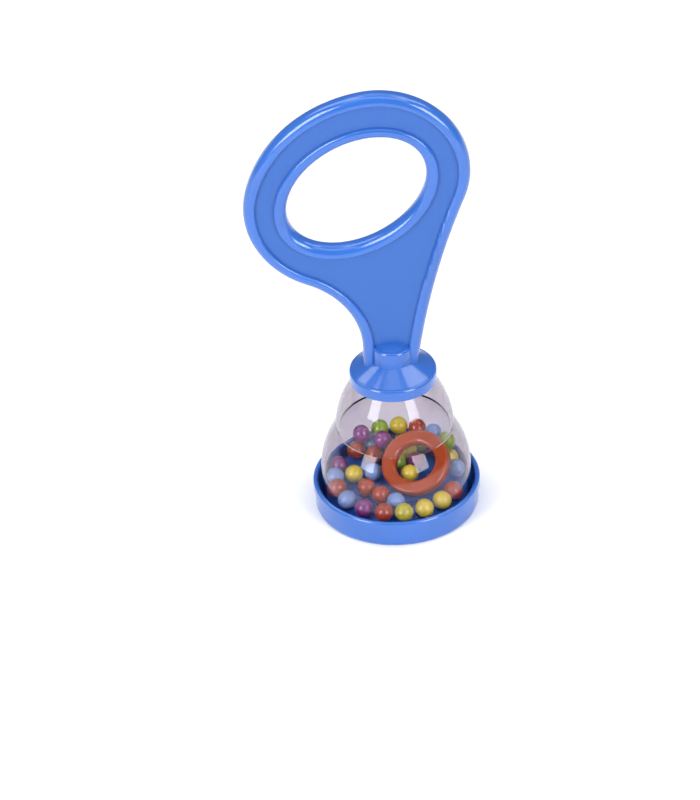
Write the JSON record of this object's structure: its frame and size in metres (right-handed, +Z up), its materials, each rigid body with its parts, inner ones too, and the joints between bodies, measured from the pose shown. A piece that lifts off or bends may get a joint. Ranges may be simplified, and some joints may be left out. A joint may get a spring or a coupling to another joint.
{
  "type": "baby rattle",
  "caption": "Hand rattle: flat ring-topped grip on a clear two-tier dome over a round base dish, with loose coloured balls and a loose ring inside.",
  "frame": {"origin": "on the axis of the dome and base, in the plane that the base rim stands on", "axes": "+Z up along the axis of the dome; the flat grip lies in the XZ plane and its ring leans towards -X"},
  "size_m": [0.0886, 0.066, 0.1904],
  "materials": {
    "blue_plastic": "glossy moulded",
    "clear_plastic": "clear polished",
    "ring_orange": "glossy moulded",
    "ball_yellow": "satin moulded",
    "ball_orange": "satin moulded",
    "ball_purple": "satin moulded",
    "ball_blue": "satin moulded",
    "ball_green": "satin moulded",
    "ball_lime": "satin moulded"
  },
  "bodies": {
    "rattle_case": {"handle": "blue_plastic", "dome": "clear_plastic", "base_dish": "blue_plastic"},
    "ring": {"loose_ring": "ring_orange"},
    "ball_orange_1_body": {"ball_orange_1": "ball_orange"},
    "ball_blue_1_body": {"ball_blue_1": "ball_blue"},
    "ball_purple_1_body": {"ball_purple_1": "ball_purple"},
    "ball_orange_2_body": {"ball_orange_2": "ball_orange"},
    "ball_lime_1_body": {"ball_lime_1": "ball_lime"},
    "ball_yellow_1_body": {"ball_yellow_1": "ball_yellow"},
    "ball_yellow_2_body": {"ball_yellow_2": "ball_yellow"},
    "ball_orange_3_body": {"ball_orange_3": "ball_orange"},
    "ball_blue_2_body": {"ball_blue_2": "ball_blue"},
    "ball_yellow_3_body": {"ball_yellow_3": "ball_yellow"},
    "ball_purple_2_body": {"ball_purple_2": "ball_purple"},
    "ball_green_1_body": {"ball_green_1": "ball_green"},
    "ball_orange_4_body": {"ball_orange_4": "ball_orange"},
    "ball_blue_3_body": {"ball_blue_3": "ball_blue"},
    "ball_orange_5_body": {"ball_orange_5": "ball_orange"},
    "ball_purple_3_body": {"ball_purple_3": "ball_purple"},
    "ball_blue_4_body": {"ball_blue_4": "ball_blue"},
    "ball_blue_5_body": {"ball_blue_5": "ball_blue"},
    "ball_orange_6_body": {"ball_orange_6": "ball_orange"},
    "ball_orange_7_body": {"ball_orange_7": "ball_orange"},
    "ball_yellow_4_body": {"ball_yellow_4": "ball_yellow"},
    "ball_blue_6_body": {"ball_blue_6": "ball_blue"},
    "ball_orange_8_body": {"ball_orange_8": "ball_orange"},
    "ball_purple_4_body": {"ball_purple_4": "ball_purple"},
    "ball_yellow_5_body": {"ball_yellow_5": "ball_yellow"},
    "ball_green_2_body": {"ball_green_2": "ball_green"},
    "ball_purple_5_body": {"ball_purple_5": "ball_purple"},
    "ball_yellow_6_body": {"ball_yellow_6": "ball_yellow"},
    "ball_purple_6_body": {"ball_purple_6": "ball_purple"},
    "ball_green_3_body": {"ball_green_3": "ball_green"},
    "ball_yellow_7_body": {"ball_yellow_7": "ball_yellow"},
    "ball_orange_9_body": {"ball_orange_9": "ball_orange"},
    "ball_blue_7_body": {"ball_blue_7": "ball_blue"},
    "ball_green_4_body": {"ball_green_4": "ball_green"},
    "ball_purple_7_body": {"ball_purple_7": "ball_purple"}
  },
  "joints": [
    {"name": "ring_lift", "type": "slide", "parent": "rattle_case", "child": "ring", "axis": [0, 0, 1], "range_m": [0, 0.014]},
    {"name": "ball_orange_1_hop", "type": "slide", "parent": "rattle_case", "child": "ball_orange_1_body", "axis": [0, 0, 1], "range_m": [0, 0.0079]},
    {"name": "ball_blue_1_hop", "type": "slide", "parent": "rattle_case", "child": "ball_blue_1_body", "axis": [0, 0, 1], "range_m": [0, 0.0079]},
    {"name": "ball_purple_1_hop", "type": "slide", "parent": "rattle_case", "child": "ball_purple_1_body", "axis": [0, 0, 1], "range_m": [0, 0.0079]},
    {"name": "ball_orange_2_hop", "type": "slide", "parent": "rattle_case", "child": "ball_orange_2_body", "axis": [0, 0, 1], "range_m": [0, 0.0079]},
    {"name": "ball_lime_1_hop", "type": "slide", "parent": "rattle_case", "child": "ball_lime_1_body", "axis": [0, 0, 1], "range_m": [0, 0.0079]},
    {"name": "ball_yellow_1_hop", "type": "slide", "parent": "rattle_case", "child": "ball_yellow_1_body", "axis": [0, 0, 1], "range_m": [0, 0.0079]},
    {"name": "ball_yellow_2_hop", "type": "slide", "parent": "rattle_case", "child": "ball_yellow_2_body", "axis": [0, 0, 1], "range_m": [0, 0.0068]},
    {"name": "ball_orange_3_hop", "type": "slide", "parent": "rattle_case", "child": "ball_orange_3_body", "axis": [0, 0, 1], "range_m": [0, 0.0061]},
    {"name": "ball_blue_2_hop", "type": "slide", "parent": "rattle_case", "child": "ball_blue_2_body", "axis": [0, 0, 1], "range_m": [0, 0.0059]},
    {"name": "ball_yellow_3_hop", "type": "slide", "parent": "rattle_case", "child": "ball_yellow_3_body", "axis": [0, 0, 1], "range_m": [0, 0.0022]},
    {"name": "ball_purple_2_hop", "type": "slide", "parent": "rattle_case", "child": "ball_purple_2_body", "axis": [0, 0, 1], "range_m": [0, 0.0022]},
    {"name": "ball_green_1_hop", "type": "slide", "parent": "rattle_case", "child": "ball_green_1_body", "axis": [0, 0, 1], "range_m": [0, 0.0022]},
    {"name": "ball_orange_4_hop", "type": "slide", "parent": "rattle_case", "child": "ball_orange_4_body", "axis": [0, 0, 1], "range_m": [0, 0.0022]},
    {"name": "ball_blue_3_hop", "type": "slide", "parent": "rattle_case", "child": "ball_blue_3_body", "axis": [0, 0, 1], "range_m": [0, 0.0018]},
    {"name": "ball_orange_5_hop", "type": "slide", "parent": "rattle_case", "child": "ball_orange_5_body", "axis": [0, 0, 1], "range_m": [0, 0.0024]},
    {"name": "ball_purple_3_hop", "type": "slide", "parent": "rattle_case", "child": "ball_purple_3_body", "axis": [0, 0, 1], "range_m": [0, 0.0079]},
    {"name": "ball_blue_4_hop", "type": "slide", "parent": "rattle_case", "child": "ball_blue_4_body", "axis": [0, 0, 1], "range_m": [0, 0.0079]},
    {"name": "ball_blue_5_hop", "type": "slide", "parent": "rattle_case", "child": "ball_blue_5_body", "axis": [0, 0, 1], "range_m": [0, 0.0313]},
    {"name": "ball_orange_6_hop", "type": "slide", "parent": "rattle_case", "child": "ball_orange_6_body", "axis": [0, 0, 1], "range_m": [0, 0.0396]},
    {"name": "ball_orange_7_hop", "type": "slide", "parent": "rattle_case", "child": "ball_orange_7_body", "axis": [0, 0, 1], "range_m": [0, 0.0403]},
    {"name": "ball_yellow_4_hop", "type": "slide", "parent": "rattle_case", "child": "ball_yellow_4_body", "axis": [0, 0, 1], "range_m": [0, 0.0331]},
    {"name": "ball_blue_6_hop", "type": "slide", "parent": "rattle_case", "child": "ball_blue_6_body", "axis": [0, 0, 1], "range_m": [0, 0.0047]},
    {"name": "ball_orange_8_hop", "type": "slide", "parent": "rattle_case", "child": "ball_orange_8_body", "axis": [0, 0, 1], "range_m": [0, 0.0045]},
    {"name": "ball_purple_4_hop", "type": "slide", "parent": "rattle_case", "child": "ball_purple_4_body", "axis": [0, 0, 1], "range_m": [0, 0.0015]},
    {"name": "ball_yellow_5_hop", "type": "slide", "parent": "rattle_case", "child": "ball_yellow_5_body", "axis": [0, 0, 1], "range_m": [0, 0.0041]},
    {"name": "ball_green_2_hop", "type": "slide", "parent": "rattle_case", "child": "ball_green_2_body", "axis": [0, 0, 1], "range_m": [0, 0.0018]},
    {"name": "ball_purple_5_hop", "type": "slide", "parent": "rattle_case", "child": "ball_purple_5_body", "axis": [0, 0, 1], "range_m": [0, 0.0041]},
    {"name": "ball_yellow_6_hop", "type": "slide", "parent": "rattle_case", "child": "ball_yellow_6_body", "axis": [0, 0, 1], "range_m": [0, 0.04]},
    {"name": "ball_purple_6_hop", "type": "slide", "parent": "rattle_case", "child": "ball_purple_6_body", "axis": [0, 0, 1], "range_m": [0, 0.0033]},
    {"name": "ball_green_3_hop", "type": "slide", "parent": "rattle_case", "child": "ball_green_3_body", "axis": [0, 0, 1], "range_m": [0, 0.0038]},
    {"name": "ball_yellow_7_hop", "type": "slide", "parent": "rattle_case", "child": "ball_yellow_7_body", "axis": [0, 0, 1], "range_m": [0, 0.0031]},
    {"name": "ball_orange_9_hop", "type": "slide", "parent": "rattle_case", "child": "ball_orange_9_body", "axis": [0, 0, 1], "range_m": [0, 0.0031]},
    {"name": "ball_blue_7_hop", "type": "slide", "parent": "rattle_case", "child": "ball_blue_7_body", "axis": [0, 0, 1], "range_m": [0, 0.0031]},
    {"name": "ball_green_4_hop", "type": "slide", "parent": "rattle_case", "child": "ball_green_4_body", "axis": [0, 0, 1], "range_m": [0, 0.0031]},
    {"name": "ball_purple_7_hop", "type": "slide", "parent": "rattle_case", "child": "ball_purple_7_body", "axis": [0, 0, 1], "range_m": [0, 0.0281]}
  ],
  "couplings": [
    {"joint": "ball_orange_5_hop", "follows": "ball_purple_6_hop", "ratio": 0.7},
    {"joint": "ball_blue_3_hop", "follows": "ball_green_3_hop", "ratio": 0.45},
    {"joint": "ball_orange_4_hop", "follows": "ball_yellow_7_hop", "ratio": 0.7},
    {"joint": "ball_green_1_hop", "follows": "ball_orange_9_hop", "ratio": 0.7},
    {"joint": "ball_purple_2_hop", "follows": "ball_blue_7_hop", "ratio": 0.7},
    {"joint": "ball_yellow_3_hop", "follows": "ball_green_4_hop", "ratio": 0.7},
    {"joint": "ball_purple_4_hop", "follows": "ball_purple_7_hop", "ratio": 0.05},
    {"joint": "ball_orange_8_hop", "follows": "ball_purple_7_hop", "ratio": 0.16}
  ]
}
